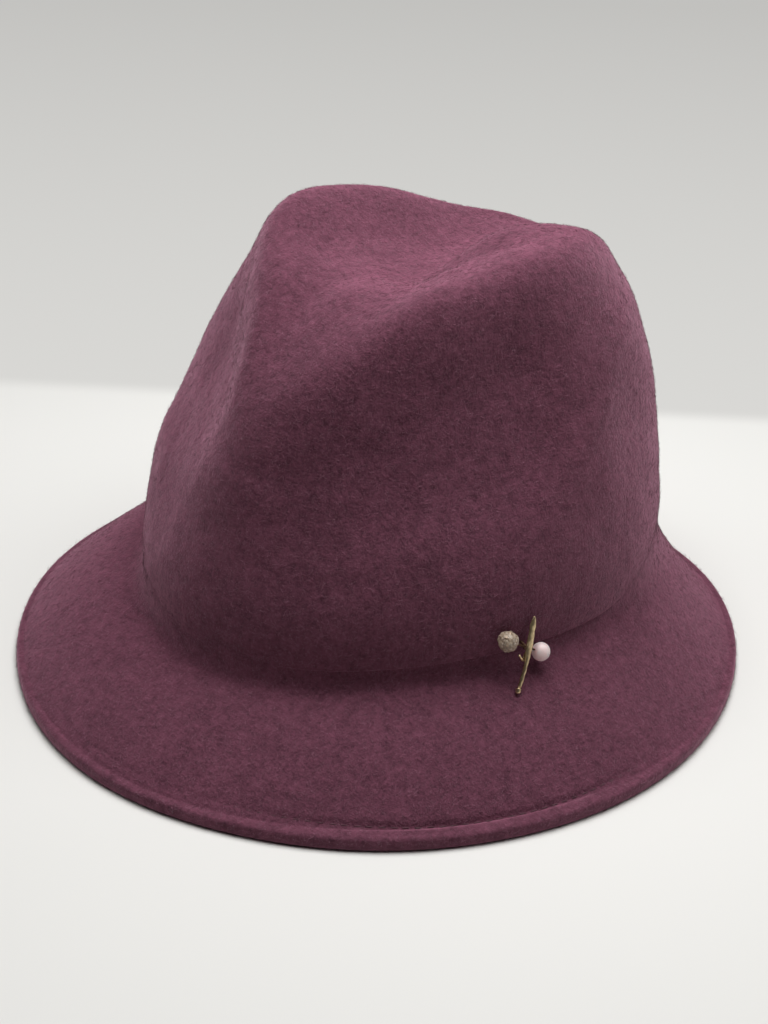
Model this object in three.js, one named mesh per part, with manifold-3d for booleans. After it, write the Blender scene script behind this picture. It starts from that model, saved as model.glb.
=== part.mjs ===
// Wool felt hat with a tear-drop crown, a sloping brim with a rolled hem, and a small pinned brooch.
// Millimetres, +Z up, the front of the hat toward -Y, the wearer's left toward +X.
import * as THREE from "three";
import { mergeVertices } from "three/addons/utils/BufferGeometryUtils.js";
import Module from "manifold-3d";

const wasm = await Module();
wasm.setup();

// Felt and clearances
const FELT = 2.2;
const GAP = 0.3;

// Crown: the outer oval at its lower edge, and how far it rises
const CROWN_HALF_WIDTH = 87;
const CROWN_HALF_LENGTH = 102;
const CROWN_RISE = 114;
const SEAM_HEIGHT = 39;
const SEAM_DROP = 7;
const BAND_SHARE = 0.105;
const CENTRE_SHARE = 0.88;

// Brim: the rim's oval, how far forward it lies, and the slope, collar and hem
const RIM_HALF_WIDTH = 131;
const RIM_HALF_LENGTH = 139.5;
const RIM_FORWARD = 10;
const COLLAR_HEIGHT = 9;
const CREASE_DEPTH = 5;
const CREASE_BLEND = 4;
const HEM_THICKNESS = 5;
const HEM_WIDTH = 9.5;
const GROOVE_INSET = 6.2;
const GROOVE_DEPTH = 0.7;

// Brooch
const BAR_TOP_ANGLE = 76;
const BAR_TOP_HEIGHT = 14;
const BAR_FOOT_ANGLE = 71.7;
const BAR_FOOT_REACH = 7.8;
const BAR_FOOT_DROP = 9.9;
const FOOT_CLEARANCE = 0.07;
const BAR_WIDTH = 2.7;
const BAR_THICKNESS = 1.5;
const ROD_DIAMETER = 1.4;
const CROSS_SHARE = 0.385;
const WIRE_DIAMETER = 0.9;
const PEARL_DIAMETER = 6.3;
const PEARL_REACH = 6.9;
const ROUGH_BEAD_DIAMETER = 6.8;
const ROUGH_BEAD_REACH = 9.2;
const WIRE_SLOPE = -30;
const POST_DIAMETER = 1.1;
const CLUTCH_DIAMETER = 8;
const CLUTCH_THICKNESS = 3.2;

// How finely the felt is divided
const COLUMNS = 72;
const CROWDING_SHARE = 0.3;
const CROWN_STEPS = [1, 3, 4, 4, 4, 3, 4];

// Crown folds, a row for each direction round the head, angles from the front toward the wearer's left.
// Radii are shares of the lower edge's oval, heights are shares of the crown's rise.
const CROWN_COLUMNS = ["angle", "waist", "waistZ", "pinch", "pinchZ", "brow", "browZ", "ridge", "ridgeZ", "bowlZ"];
const CROWN_ROWS = [
  [-150, 0.97, 0.40, 0.92, 0.60, 0.79, 0.83, 0.68, 0.855, 0.85],
  [-115, 0.96, 0.40, 0.935, 0.645, 0.775, 0.84, 0.62, 0.985, 0.89],
  [-80, 0.99, 0.45, 0.97, 0.61, 0.81, 0.845, 0.605, 1.045, 0.92],
  [-50, 0.97, 0.36, 0.855, 0.48, 0.685, 0.68, 0.575, 0.965, 0.925],
  [-25, 0.895, 0.34, 0.84, 0.435, 0.70, 0.63, 0.57, 0.89, 0.92],
  [0, 0.91, 0.365, 0.875, 0.48, 0.835, 0.56, 0.71, 0.74, 0.925],
  [25, 0.935, 0.30, 0.87, 0.41, 0.815, 0.51, 0.635, 0.835, 0.935],
  [50, 0.90, 0.34, 0.78, 0.485, 0.675, 0.66, 0.515, 0.96, 0.945],
  [80, 0.905, 0.37, 0.74, 0.545, 0.63, 0.715, 0.49, 0.985, 0.97],
  [115, 0.84, 0.56, 0.80, 0.665, 0.73, 0.775, 0.535, 1.01, 0.98],
  [150, 0.97, 0.385, 0.895, 0.61, 0.785, 0.81, 0.635, 0.955, 1.00],
  [180, 0.99, 0.405, 0.91, 0.605, 0.785, 0.805, 0.655, 0.86, 0.885],
];
const CROWN_STATIONS = [0, 0.08, 0.30, 0.46, 0.62, 0.75, 0.875, 1];

// Brim, a row for each direction: the rim as a share of its oval, how far the slope swells above
// its chord, as a share of the brim's width, and how deep the crease lies, as a share of its depth.
const BRIM_COLUMNS = ["angle", "rim", "swell", "crease"];
const BRIM_ROWS = [
  [-150, 0.955, 0.00, 0.5],
  [-120, 0.96, 0.05, 0.4],
  [-90, 0.97, 0.08, 0.4],
  [-60, 0.996, 0.08, 0.5],
  [-30, 0.994, 0.07, 0.9],
  [0, 0.998, 0.07, 1.1],
  [30, 0.984, 0.075, 1.1],
  [60, 0.99, 0.06, 1.1],
  [90, 1.003, 0.01, 0.8],
  [120, 0.998, -0.07, 0.4],
  [150, 0.992, -0.12, 0.6],
  [180, 0.95, -0.07, 0.6],
];

const radians = THREE.MathUtils.degToRad;

// Piecewise cubic through the knots, with slopes taken from the neighbouring spans
function cubic(knots, values, slopes, at) {
  let i = 0;
  while (i < knots.length - 2 && at > knots[i + 1]) i += 1;
  const span = knots[i + 1] - knots[i];
  const t = (at - knots[i]) / span;
  const s = 1 - t;
  const start = values[i] * (1 + 2 * t) * s * s + slopes[i] * span * t * s * s;
  const end = values[i + 1] * (1 + 2 * s) * t * t - slopes[i + 1] * span * s * t * t;
  return start + end;
}

// The table's values in one direction, smooth and closed round the head
function around(names, rows, angle) {
  const turned = THREE.MathUtils.euclideanModulo(angle - rows[0][0], 360) + rows[0][0];
  const before = rows.at(-1).with(0, rows.at(-1)[0] - 360);
  const after = [0, 1].map((i) => rows[i].with(0, rows[i][0] + 360));
  const ring = [before, ...rows, ...after];
  const knots = ring.map((row) => row[0]);
  const found = {};
  names.forEach((name, column) => {
    const values = ring.map((row) => row[column]);
    const slopes = values.map((value, i) => {
      const low = Math.max(i - 1, 0);
      const high = Math.min(i + 1, values.length - 1);
      return (values[high] - values[low]) / (knots[high] - knots[low]);
    });
    found[name] = cubic(knots, values, slopes, turned);
  });
  return found;
}

// A smooth line through a few stations, with its own slope at the last one where that is given
function through(knots, values, at, lastSlope) {
  const chords = knots.slice(1).map((knot, i) => (values[i + 1] - values[i]) / (knot - knots[i]));
  const slopes = knots.map((knot, i) => {
    if (i === 0) return chords[0];
    if (i === knots.length - 1) return lastSlope ?? chords.at(-1);
    const left = knot - knots[i - 1];
    const right = knots[i + 1] - knot;
    return (chords[i - 1] * right + chords[i] * left) / (left + right);
  });
  return cubic(knots, values, slopes, at);
}

// The directions of the columns, closer together at the front where the folds are
const angles = Array.from({ length: COLUMNS }, (_, i) => {
  const turn = (360 * i) / COLUMNS;
  return turn - THREE.MathUtils.radToDeg(CROWDING_SHARE * Math.sin(radians(turn)));
});

// A point off the crown's oval: out along its normal, and up from the seam
function offOval(angle, out, up) {
  const sine = Math.sin(radians(angle));
  const cosine = Math.cos(radians(angle));
  const normal = new THREE.Vector2(CROWN_HALF_LENGTH * sine, -CROWN_HALF_WIDTH * cosine).normalize();
  const seam = SEAM_HEIGHT - SEAM_DROP * cosine;
  return new THREE.Vector3(
    CROWN_HALF_WIDTH * sine + out * normal.x,
    -CROWN_HALF_LENGTH * cosine + out * normal.y,
    seam + up,
  );
}

// A point of the crown's outer surface, from its edge at 0 to the middle of the dent at 1
function crownPoint(angle, climb) {
  const fold = around(CROWN_COLUMNS, CROWN_ROWS, angle);
  const radii = [1, 1, fold.waist, fold.pinch, fold.brow, fold.ridge, fold.ridge / 2, 0];
  const heights = [0, BAND_SHARE, fold.waistZ, fold.pinchZ, fold.browZ, fold.ridgeZ, fold.bowlZ, CENTRE_SHARE];
  const radius = through(CROWN_STATIONS, radii, climb);
  const height = through(CROWN_STATIONS, heights, climb, 0);
  const y = -radius * CROWN_HALF_LENGTH * Math.cos(radians(angle));
  return new THREE.Vector3(
    radius * CROWN_HALF_WIDTH * Math.sin(radians(angle)),
    y,
    SEAM_HEIGHT + height * CROWN_RISE + (SEAM_DROP * y) / CROWN_HALF_LENGTH,
  );
}

// The crown's outward normal, from points close by on its surface
function crownNormal(angle, climb) {
  const step = 0.004;
  const low = Math.max(climb - step, 0);
  const high = Math.min(climb + step, 1 - step);
  const along = crownPoint(angle, high).sub(crownPoint(angle, Math.min(low, high - step)));
  const across = crownPoint(angle + 1, climb).sub(crownPoint(angle - 1, climb));
  return across.cross(along).normalize();
}

// One closed solid from its points and triangles
function solid(points, faces) {
  const geometry = new THREE.BufferGeometry();
  geometry.setAttribute("position", new THREE.Float32BufferAttribute(points.flatMap((p) => p.toArray()), 3));
  geometry.setIndex(faces);
  return geometry;
}

// Two triangles for each cell between ring a and ring b
function strip(faces, a, b, count) {
  for (let i = 0; i < count; i += 1) {
    const next = (i + 1) % count;
    faces.push(a + i, a + next, b + next, a + i, b + next, b + i);
  }
}

function crownShell() {
  const climbs = [];
  CROWN_STEPS.forEach((steps, i) => {
    for (let k = 0; k < steps; k += 1) {
      const start = CROWN_STATIONS[i];
      climbs.push(start + ((CROWN_STATIONS[i + 1] - start) * k) / steps);
    }
  });
  const outer = climbs.flatMap((climb) => angles.map((angle) => crownPoint(angle, climb)));
  const inner = climbs.flatMap((climb, row) =>
    angles.map((angle, i) => {
      const point = outer[row * COLUMNS + i].clone().addScaledVector(crownNormal(angle, climb), -FELT);
      if (row === 0) point.z = outer[i].z;
      return point;
    }),
  );
  const top = crownPoint(0, 1);
  const points = [...outer, top, ...inner, top.clone().add(new THREE.Vector3(0, 0, -FELT))];
  const faces = [];
  const rows = climbs.length;
  const below = rows * COLUMNS + 1;
  for (let row = 0; row < rows - 1; row += 1) {
    strip(faces, row * COLUMNS, (row + 1) * COLUMNS, COLUMNS);
    strip(faces, below + (row + 1) * COLUMNS, below + row * COLUMNS, COLUMNS);
  }
  strip(faces, below, 0, COLUMNS);
  for (let i = 0; i < COLUMNS; i += 1) {
    const next = (i + 1) % COLUMNS;
    const last = (rows - 1) * COLUMNS;
    faces.push(last + i, last + next, below - 1);
    faces.push(below + last + next, below + last + i, below + rows * COLUMNS);
  }
  return solid(points, faces);
}

// The brim in one direction: where it starts, which way it runs, its width and its slope's height
function brimRun(angle) {
  const { rim, swell, crease } = around(BRIM_COLUMNS, BRIM_ROWS, angle);
  const start = offOval(angle, 0, 0);
  const edge = new THREE.Vector3(
    rim * RIM_HALF_WIDTH * Math.sin(radians(angle)),
    -rim * RIM_HALF_LENGTH * Math.cos(radians(angle)) - RIM_FORWARD,
    start.z,
  );
  const width = edge.distanceTo(start);
  const outward = edge.clone().sub(start).normalize();
  const collar = -FELT - GAP;
  const corner = start.z - crease * CREASE_DEPTH;
  const groove = width - GROOVE_INSET;
  const slopeAt = (out) => {
    const share = (out - collar) / (groove - collar);
    return corner + (HEM_THICKNESS - corner) * share + swell * width * 4 * share * (1 - share);
  };
  return { start, outward, width, collar, groove, slopeAt };
}

// The brim's section in one direction, as (out from the crown's oval, height) pairs, from the collar's
// top down its outer face, over the slope and the hem, and back underneath.
function brimSection({ start, width, collar, groove, slopeAt }) {
  const roll = HEM_THICKNESS / 2;
  const corner = slopeAt(collar);
  const crest = width - roll;
  const blend = new THREE.QuadraticBezierCurve(
    new THREE.Vector2(collar, corner + CREASE_BLEND),
    new THREE.Vector2(collar, corner),
    new THREE.Vector2(collar + CREASE_BLEND, slopeAt(collar + CREASE_BLEND)),
  );
  const slopeStart = collar + CREASE_BLEND;
  const slopeEnd = width - HEM_WIDTH;
  const slope = [0.25, 0.5, 0.75, 1].map((share) => slopeStart + (slopeEnd - slopeStart) * share);
  const top = [
    new THREE.Vector2(collar, start.z + COLLAR_HEIGHT),
    ...blend.getPoints(4),
    ...slope.map((out) => new THREE.Vector2(out, slopeAt(out))),
  ];
  const under = top.map((point, i) => {
    const before = top[Math.max(i - 1, 0)];
    const after = top[Math.min(i + 1, top.length - 1)];
    const along = after.clone().sub(before).normalize();
    return new THREE.Vector2(point.x + along.y * FELT, point.y - along.x * FELT);
  });
  const lip = roll / 2;
  const hem = [
    new THREE.Vector2(groove - lip, slopeAt(groove - lip)),
    new THREE.Vector2(groove, slopeAt(groove) - GROOVE_DEPTH),
    new THREE.Vector2(groove + lip, HEM_THICKNESS),
    ...[80, 40, 0, -45].map((turn) => new THREE.Vector2(
      crest + roll * Math.cos(radians(turn)),
      roll + roll * Math.sin(radians(turn)),
    )),
    new THREE.Vector2(crest, 0),
    new THREE.Vector2(crest - roll, 0),
  ];
  const last = under.at(-1);
  const fold = new THREE.Vector2(last.x, last.y - FELT);
  return [...top, ...hem, fold, ...under.reverse()];
}

function brimShell() {
  const sections = angles.map((angle) => {
    const run = brimRun(angle);
    const { start, outward } = run;
    return brimSection(run).map((pair) => {
      if (pair.x <= 0) return offOval(angle, pair.x, pair.y - start.z);
      return new THREE.Vector3(start.x + outward.x * pair.x, start.y + outward.y * pair.x, pair.y);
    });
  });
  const rings = sections[0].map((_, k) => sections.map((section) => section[k]));
  const faces = [];
  rings.forEach((_, k) => strip(faces, ((k + 1) % rings.length) * COLUMNS, k * COLUMNS, COLUMNS));
  return solid(rings.flat(), faces);
}

// A rod or bead placed with its own long axis along the line from one point to another
function between(geometry, from, to) {
  const along = to.clone().sub(from);
  const turn = new THREE.Quaternion().setFromUnitVectors(new THREE.Vector3(0, 1, 0), along.clone().normalize());
  return geometry.applyQuaternion(turn).translate(...from.clone().addScaledVector(along, 0.5).toArray());
}

function rod(from, to, diameter, sides = 8) {
  return between(new THREE.CylinderGeometry(diameter / 2, diameter / 2, from.distanceTo(to), sides), from, to);
}

// Joins and cuts
function toManifold(geometry) {
  const bare = geometry.clone();
  bare.deleteAttribute("normal");
  bare.deleteAttribute("uv");
  const merged = mergeVertices(bare, 1e-4);
  const vertProperties = new Float32Array(merged.attributes.position.array);
  const triVerts = new Uint32Array(merged.index.array);
  return new wasm.Manifold(new wasm.Mesh({ numProp: 3, vertProperties, triVerts }));
}

function fromManifold(body) {
  const mesh = body.getMesh();
  const geometry = new THREE.BufferGeometry();
  geometry.setAttribute("position", new THREE.BufferAttribute(new Float32Array(mesh.vertProperties), 3));
  geometry.setIndex(Array.from(mesh.triVerts));
  return geometry;
}

function cut(geometry, tool) {
  return fromManifold(toManifold(geometry).subtract(toManifold(tool)));
}

function join(geometries) {
  return fromManifold(geometries.map(toManifold).reduce((sum, body) => sum.add(body)));
}

// Where the brooch sits: its bar bridges the crease, leaning on the crown above and on the brim below,
// with its foot never nearer the slope than its clearance
const barTop = offOval(BAR_TOP_ANGLE, BAR_THICKNESS / 2 + 2 * GAP, BAR_TOP_HEIGHT);
const underFoot = brimRun(BAR_FOOT_ANGLE);
const slopeDrop = underFoot.start.z - underFoot.slopeAt(BAR_FOOT_REACH);
const barFoot = offOval(BAR_FOOT_ANGLE, BAR_FOOT_REACH, Math.max(-BAR_FOOT_DROP, FOOT_CLEARANCE - slopeDrop));
const crossing = barTop.clone().lerp(barFoot, CROSS_SHARE);
const barAngle = THREE.MathUtils.lerp(BAR_TOP_ANGLE, BAR_FOOT_ANGLE, CROSS_SHARE);
const outward = offOval(barAngle, 1, 0).sub(offOval(barAngle, 0, 0));
const sideways = new THREE.Vector3(0, 0, 1).cross(outward);
const wireAlong = sideways.clone().multiplyScalar(Math.cos(radians(WIRE_SLOPE)));
wireAlong.z = Math.sin(radians(WIRE_SLOPE));
const pearlCentre = crossing.clone().addScaledVector(wireAlong, PEARL_REACH);
const roughCentre = crossing.clone().addScaledVector(wireAlong, -ROUGH_BEAD_REACH);

// Plan distance from the crown's oval to the crossing
const standOff = THREE.MathUtils.lerp(BAR_THICKNESS / 2 + 2 * GAP, BAR_FOOT_REACH, CROSS_SHARE);
const clutchFace = -2 * FELT - 2 * GAP;
const postTip = crossing.clone().addScaledVector(outward, clutchFace - standOff - CLUTCH_THICKNESS + 2 * GAP);

// The bar: a blade that is widest a third of the way down, over a plain rod
function bar() {
  const length = barTop.distanceTo(barFoot);
  const along = [0, 0.05, 0.3, 0.55, 0.6, 0.96, 1];
  const widths = [0.25, 0.7, 1, 0.7, ROD_DIAMETER / BAR_WIDTH, ROD_DIAMETER / BAR_WIDTH, 0.3];
  const profile = along.map((share, i) => new THREE.Vector2((widths[i] * BAR_WIDTH) / 2, length * (0.5 - share)));
  profile.unshift(new THREE.Vector2(0, length / 2));
  profile.push(new THREE.Vector2(0, -length / 2));
  const blade = new THREE.LatheGeometry(profile.reverse(), 8);
  const position = blade.attributes.position;
  for (let i = 0; i < position.count; i += 1) {
    const share = 0.5 - position.getY(i) / length;
    const flat = share < 0.58 ? BAR_THICKNESS / BAR_WIDTH : 1;
    position.setZ(i, position.getZ(i) * flat);
  }
  const axis = barTop.clone().sub(barFoot).normalize();
  const face = outward.clone().addScaledVector(axis, -outward.dot(axis)).normalize();
  const basis = new THREE.Matrix4().makeBasis(axis.clone().cross(face), axis, face);
  return blade.applyMatrix4(basis).translate(...barTop.clone().lerp(barFoot, 0.5).toArray());
}

function brooch() {
  const wire = rod(roughCentre, pearlCentre, WIRE_DIAMETER);
  const post = rod(crossing, postTip, POST_DIAMETER);
  return join([bar(), wire, post]);
}

function bead(centre, diameter, toCrossing) {
  const ball = new THREE.SphereGeometry(diameter / 2, 14, 9).translate(...centre.toArray());
  const inside = centre.clone().addScaledVector(toCrossing, -2 * GAP);
  const outside = centre.clone().addScaledVector(toCrossing, diameter);
  return cut(ball, rod(inside, outside, WIRE_DIAMETER + 2 * GAP));
}

function clutch() {
  const face = crossing.clone().addScaledVector(outward, clutchFace - standOff - GAP);
  const back = face.clone().addScaledVector(outward, -CLUTCH_THICKNESS);
  const disc = rod(back, face, CLUTCH_DIAMETER, 16);
  const socketEnd = postTip.clone().addScaledVector(outward, -GAP);
  return cut(disc, rod(socketEnd, face.clone().add(outward), POST_DIAMETER + 2 * GAP));
}

// The hole through the felt that the post passes through
const postHole = () => rod(
  crossing.clone().addScaledVector(outward, -standOff + FELT),
  crossing.clone().addScaledVector(outward, -standOff - 3 * FELT),
  POST_DIAMETER + 2 * GAP,
);

const felt = () => new THREE.MeshStandardMaterial({ color: "#6d4250", roughness: 0.95, metalness: 0 });
const brass = () => new THREE.MeshStandardMaterial({ color: "#a08250", roughness: 0.35, metalness: 1 });

const pieces = [
  ["crown", cut(crownShell(), postHole()), felt()],
  ["brim", cut(brimShell(), postHole()), felt()],
  ["brooch_bar", brooch(), brass()],
  ["pearl_bead", bead(pearlCentre, PEARL_DIAMETER, wireAlong.clone().negate()),
    new THREE.MeshStandardMaterial({ color: "#d9b5ad", roughness: 0.3, metalness: 0 })],
  ["rough_bead", bead(roughCentre, ROUGH_BEAD_DIAMETER, wireAlong),
    new THREE.MeshStandardMaterial({ color: "#8c8078", roughness: 0.7, metalness: 0.2 })],
  ["pin_clutch", clutch(), brass()],
];

// The hat's origin is under the middle of its box, on the surface that it stands on
const box = new THREE.Box3();
pieces.forEach(([, geometry]) => {
  geometry.computeBoundingBox();
  box.union(geometry.boundingBox);
});
const middle = box.getCenter(new THREE.Vector3());

const hat = new THREE.Group();
pieces.forEach(([name, geometry, material]) => {
  geometry.translate(-middle.x, -middle.y, -box.min.z);
  const mesh = new THREE.Mesh(geometry, material);
  mesh.name = name;
  hat.add(mesh);
});

export default hat;
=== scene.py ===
"""The wool felt hat's looks: felt with its nap, a stitched hem and a small brass brooch."""
import bpy
import math
import numpy as np
from mathutils import Matrix, Vector, noise


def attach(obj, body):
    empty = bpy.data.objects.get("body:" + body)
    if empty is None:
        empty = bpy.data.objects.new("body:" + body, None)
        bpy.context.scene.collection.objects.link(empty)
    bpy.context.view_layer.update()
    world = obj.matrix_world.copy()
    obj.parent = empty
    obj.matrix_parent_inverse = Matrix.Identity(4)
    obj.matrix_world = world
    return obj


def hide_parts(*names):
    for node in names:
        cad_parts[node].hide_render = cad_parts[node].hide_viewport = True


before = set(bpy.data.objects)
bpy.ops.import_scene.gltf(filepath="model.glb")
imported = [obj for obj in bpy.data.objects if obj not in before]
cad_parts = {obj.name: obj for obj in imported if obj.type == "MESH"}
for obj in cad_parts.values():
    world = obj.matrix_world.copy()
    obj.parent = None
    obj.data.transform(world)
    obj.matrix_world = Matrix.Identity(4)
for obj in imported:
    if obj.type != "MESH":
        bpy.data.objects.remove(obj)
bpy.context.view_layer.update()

MM = 0.001

# Driving sizes in millimetres, as in the part's source
FELT = 2.2
GAP = 0.3
CROWN_HALF_WIDTH = 87
CROWN_HALF_LENGTH = 102
CROWN_RISE = 114
SEAM_HEIGHT = 39
SEAM_DROP = 7
BAND_SHARE = 0.105
CENTRE_SHARE = 0.88
RIM_HALF_WIDTH = 131
RIM_HALF_LENGTH = 139.5
RIM_FORWARD = 10
COLLAR_HEIGHT = 9
COLLAR_OUT = -FELT - GAP
CREASE_BLEND = 4
HEM_THICKNESS = 5
HEM_WIDTH = 9.5
GROOVE_INSET = 6.2
GROOVE_DEPTH = 0.9

# Crown folds: radii are shares of the lower edge's oval, heights are shares of the crown's rise
CROWN_COLUMNS = ["angle", "waist", "waist_z", "pinch", "pinch_z", "brow", "brow_z",
                 "ridge", "ridge_z", "bowl_z"]
CROWN_ROWS = [
    [-150, 0.97, 0.40, 0.92, 0.60, 0.79, 0.83, 0.68, 0.855, 0.85],
    [-115, 0.96, 0.40, 0.935, 0.645, 0.775, 0.84, 0.62, 0.985, 0.89],
    [-80, 0.99, 0.45, 0.97, 0.61, 0.81, 0.845, 0.605, 1.045, 0.92],
    [-50, 0.97, 0.36, 0.855, 0.48, 0.685, 0.68, 0.575, 0.965, 0.925],
    [-25, 0.895, 0.34, 0.84, 0.435, 0.70, 0.63, 0.57, 0.89, 0.92],
    [0, 0.91, 0.365, 0.875, 0.48, 0.835, 0.56, 0.71, 0.74, 0.925],
    [25, 0.935, 0.30, 0.87, 0.41, 0.815, 0.51, 0.635, 0.835, 0.935],
    [50, 0.90, 0.34, 0.78, 0.485, 0.675, 0.66, 0.515, 0.96, 0.945],
    [80, 0.905, 0.37, 0.74, 0.545, 0.63, 0.715, 0.49, 0.985, 0.97],
    [115, 0.84, 0.56, 0.80, 0.665, 0.73, 0.775, 0.535, 1.01, 0.98],
    [150, 0.97, 0.385, 0.895, 0.61, 0.785, 0.81, 0.635, 0.955, 1.00],
    [180, 0.99, 0.405, 0.91, 0.605, 0.785, 0.805, 0.655, 0.86, 0.885],
]
CROWN_STATIONS = [0, 0.08, 0.30, 0.46, 0.62, 0.75, 0.875, 1]

# Brim: the rim as a share of its oval, and the slope's swell as a share of the brim's width
BRIM_COLUMNS = ["angle", "rim", "swell"]
BRIM_ROWS = [
    [-150, 0.955, 0.00],
    [-120, 0.96, 0.05],
    [-90, 0.97, 0.08],
    [-60, 0.996, 0.08],
    [-30, 0.994, 0.07],
    [0, 0.998, 0.07],
    [30, 0.984, 0.075],
    [60, 0.99, 0.06],
    [90, 1.003, 0.01],
    [120, 0.998, -0.07],
    [150, 0.992, -0.12],
    [180, 0.95, -0.07],
]

# Finish, a row for each direction: how softly the felt runs from the crown to the brim, as a share,
# then in millimetres how far out the curve between them reaches, how high the crease line shows above
# the crown's cut edge and how far below that line the slope begins, and last the depth of the hem's
# groove, as a share of its full depth
FINISH_COLUMNS = ["angle", "soft", "reach", "line", "step", "groove"]
FINISH_ROWS = [
    [-150, 1, 8, 0, 2.5, 0.4],
    [-110, 1, 8, 0, 2, 0.3],
    [-70, 1, 9, 0, 2.3, 0.0],
    [-40, 1, 9, 0, 3.5, 0.0],
    [-15, 1, 7, 0, 5, 0.1],
    [0, 1, 5.5, 0.5, 6, 0.2],
    [15, 0.95, 4.5, 2, 6.5, 0.2],
    [30, 0.6, 3.6, 3, 6.3, 0.4],
    [45, 0.2, 3, 3.8, 6, 0.7],
    [60, 0, 2.6, 3.8, 6.2, 1.0],
    [75, 0, 2.6, 2.2, 4.8, 0.85],
    [90, 0.2, 3, -0.3, 2.4, 0.3],
    [100, 0.5, 4, -2, 1.2, 0.1],
    [112, 0.9, 6, -1, 1.5, 0.2],
    [125, 1, 7, 0, 2.4, 0.1],
    [150, 1, 7, 0, 2.6, 0.2],
    [180, 1, 7, 0, 3, 0.4],
]

up = np.array([0, 0, 1.0])
rng = np.random.default_rng(7)


# Smooth curves through the tables
def cubic(knots, values, slopes, at):
    """Piecewise cubic: values and slopes have a knot for each row of their first axis."""
    knots = np.asarray(knots, float)
    i = np.clip(np.searchsorted(knots, at) - 1, 0, len(knots) - 2)
    span = knots[i + 1] - knots[i]
    t = (at - knots[i]) / span
    shape = t.shape + (1,) * (values.ndim - 1)
    t, span = t.reshape(shape), span.reshape(shape)
    s = 1 - t
    start = values[i] * (1 + 2 * t) * s * s + slopes[i] * span * t * s * s
    return start + values[i + 1] * (1 + 2 * s) * t * t - slopes[i + 1] * span * s * t * t


def around(names, rows, angles):
    """The table's columns in each direction, smooth and closed round the head."""
    rows = np.array(rows, float)
    before, after = rows[-1:].copy(), rows[:2].copy()
    before[:, 0] -= 360
    after[:, 0] += 360
    ring = np.vstack([before, rows, after])
    knots, values = ring[:, 0], ring[:, 1:]
    low = np.maximum(np.arange(len(ring)) - 1, 0)
    high = np.minimum(np.arange(len(ring)) + 1, len(ring) - 1)
    slopes = (values[high] - values[low]) / (knots[high] - knots[low])[:, None]
    turned = (np.asarray(angles, float) - rows[0, 0]) % 360 + rows[0, 0]
    found = cubic(knots, values, slopes, turned)
    return dict(zip(names[1:], found.T))


def through(knots, values, at, last_slope=None):
    """Smooth lines through a few stations: values has a row for each station."""
    knots = np.asarray(knots, float)
    gaps = np.diff(knots)
    chords = np.diff(values, axis=0) / gaps[:, None]
    slopes = np.empty_like(values)
    slopes[0] = chords[0]
    slopes[-1] = chords[-1] if last_slope is None else last_slope
    left, right = gaps[:-1, None], gaps[1:, None]
    slopes[1:-1] = (chords[:-1] * right + chords[1:] * left) / (left + right)
    return cubic(knots, values, slopes, np.asarray(at, float))


def unit(vectors):
    """The vectors at length one, along their last axis."""
    return vectors / np.maximum(np.linalg.norm(vectors, axis=-1, keepdims=True), 1e-9)


# The hat's surfaces
def crown_surface(angles, climbs):
    """Points of the crown's outer surface, a row for each climb."""
    fold = around(CROWN_COLUMNS, CROWN_ROWS, angles)
    one, none = np.ones_like(fold["waist"]), np.zeros_like(fold["waist"])
    radii = [one, one, fold["waist"], fold["pinch"], fold["brow"], fold["ridge"], fold["ridge"] / 2, none]
    heights = [none, one * BAND_SHARE, fold["waist_z"], fold["pinch_z"], fold["brow_z"], fold["ridge_z"],
               fold["bowl_z"], one * CENTRE_SHARE]
    turn = np.radians(angles)
    radius = through(CROWN_STATIONS, np.array(radii), climbs)
    height = through(CROWN_STATIONS, np.array(heights), climbs, 0)
    x = radius * CROWN_HALF_WIDTH * np.sin(turn)
    y = -radius * CROWN_HALF_LENGTH * np.cos(turn)
    z = SEAM_HEIGHT + height * CROWN_RISE + SEAM_DROP * y / CROWN_HALF_LENGTH
    return np.stack([x, y, z], axis=-1)


def off_oval(angles, out, rise):
    """Points off the crown's oval: out along its normal, and up from the seam."""
    turn = np.radians(angles)
    sine, cosine = np.sin(turn), np.cos(turn)
    normal = unit(np.stack([CROWN_HALF_LENGTH * sine, -CROWN_HALF_WIDTH * cosine], axis=-1))
    x = CROWN_HALF_WIDTH * sine + out * normal[..., 0]
    y = -CROWN_HALF_LENGTH * cosine + out * normal[..., 1]
    return np.stack([x, y, SEAM_HEIGHT - SEAM_DROP * cosine + rise], axis=-1)


def brim_lines(angles):
    """In each direction the brim's start, its way out, its width, its slope's height and its finish."""
    shape = around(BRIM_COLUMNS, BRIM_ROWS, angles)
    finish = around(FINISH_COLUMNS, FINISH_ROWS, angles)
    finish["soft"] = np.clip(finish["soft"], 0, 1)
    finish["groove"] = np.clip(finish["groove"], 0, 1)
    turn = np.radians(angles)
    start = off_oval(angles, 0.0, 0.0)
    rim_x = shape["rim"] * RIM_HALF_WIDTH * np.sin(turn)
    rim_y = -shape["rim"] * RIM_HALF_LENGTH * np.cos(turn) - RIM_FORWARD
    run = np.stack([rim_x, rim_y], axis=-1) - start[:, :2]
    width = np.linalg.norm(run, axis=-1)
    corner = start[:, 2] + finish["line"] - finish["step"]
    end = width - GROOVE_INSET + (GROOVE_INSET - HEM_THICKNESS / 2) * (1 - finish["groove"])

    def slope_at(out):
        share = (out - COLLAR_OUT) / (end - COLLAR_OUT)
        return corner + (HEM_THICKNESS - corner) * share + shape["swell"] * width * 4 * share * (1 - share)

    return start, run / width[:, None], width, slope_at, finish


# Grids and meshes
def crowded_angles(count):
    """Directions round the head, closer together in front."""
    crowding = 0.3
    turn = 360 * np.arange(count) / count
    return turn - np.degrees(crowding * np.sin(np.radians(turn)))


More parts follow.
